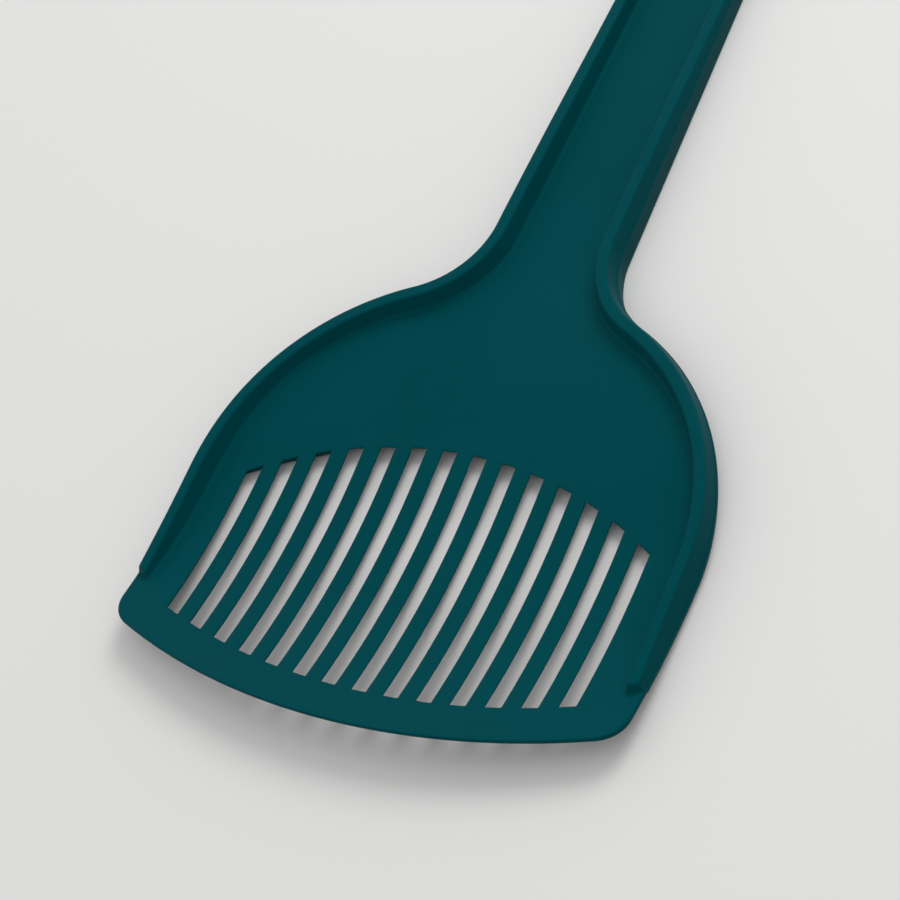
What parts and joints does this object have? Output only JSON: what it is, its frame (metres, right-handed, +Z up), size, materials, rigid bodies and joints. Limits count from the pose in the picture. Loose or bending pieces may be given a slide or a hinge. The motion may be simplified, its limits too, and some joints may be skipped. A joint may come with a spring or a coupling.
{
  "type": "cat litter scoop",
  "caption": "One-piece moulded plastic litter scoop: a wide slotted pan with an upturned lip and a low rim all round, running back into a long shallow channel handle with a round end",
  "frame": {"origin": "the middle of the part's footprint, on the table it lies on", "axes": "+X across the pan to its right side, +Y along the handle from the lip to the round end, +Z up out of the dish"},
  "size_m": [0.1262, 0.285, 0.0104],
  "materials": {
    "teal_plastic": "smooth moulded polypropylene with a satin sheen, teal all through"
  },
  "bodies": {
    "root": {"scoop": "teal_plastic"}
  },
  "joints": []
}
